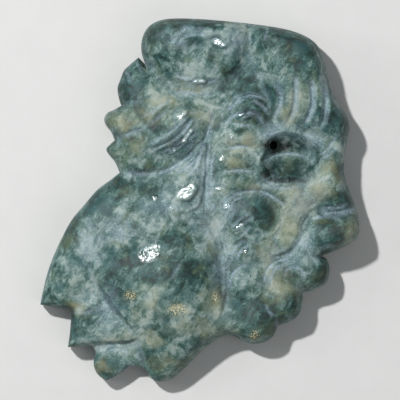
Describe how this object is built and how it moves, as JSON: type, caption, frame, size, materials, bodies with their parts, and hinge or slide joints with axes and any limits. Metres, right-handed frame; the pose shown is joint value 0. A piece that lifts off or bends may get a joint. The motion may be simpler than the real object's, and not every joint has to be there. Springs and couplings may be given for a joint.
{
  "type": "jade pendant",
  "caption": "Small carved jade pendant: a mythical beast in profile cut in relief on one flat-backed stone, with a small hanging hole at the eye.",
  "frame": {"origin": "under the middle of the stone, on the surface that its flat back lies on", "axes": "+Y towards the beast's crown, +X to the right in the front view, where it looks, +Z out of the carved front"},
  "size_m": [0.048, 0.0544, 0.0105],
  "materials": {
    "jade": "polished, mottled green and cream, with pale haze in the cuts"
  },
  "bodies": {
    "root": {"carved_stone": "jade"}
  },
  "joints": []
}
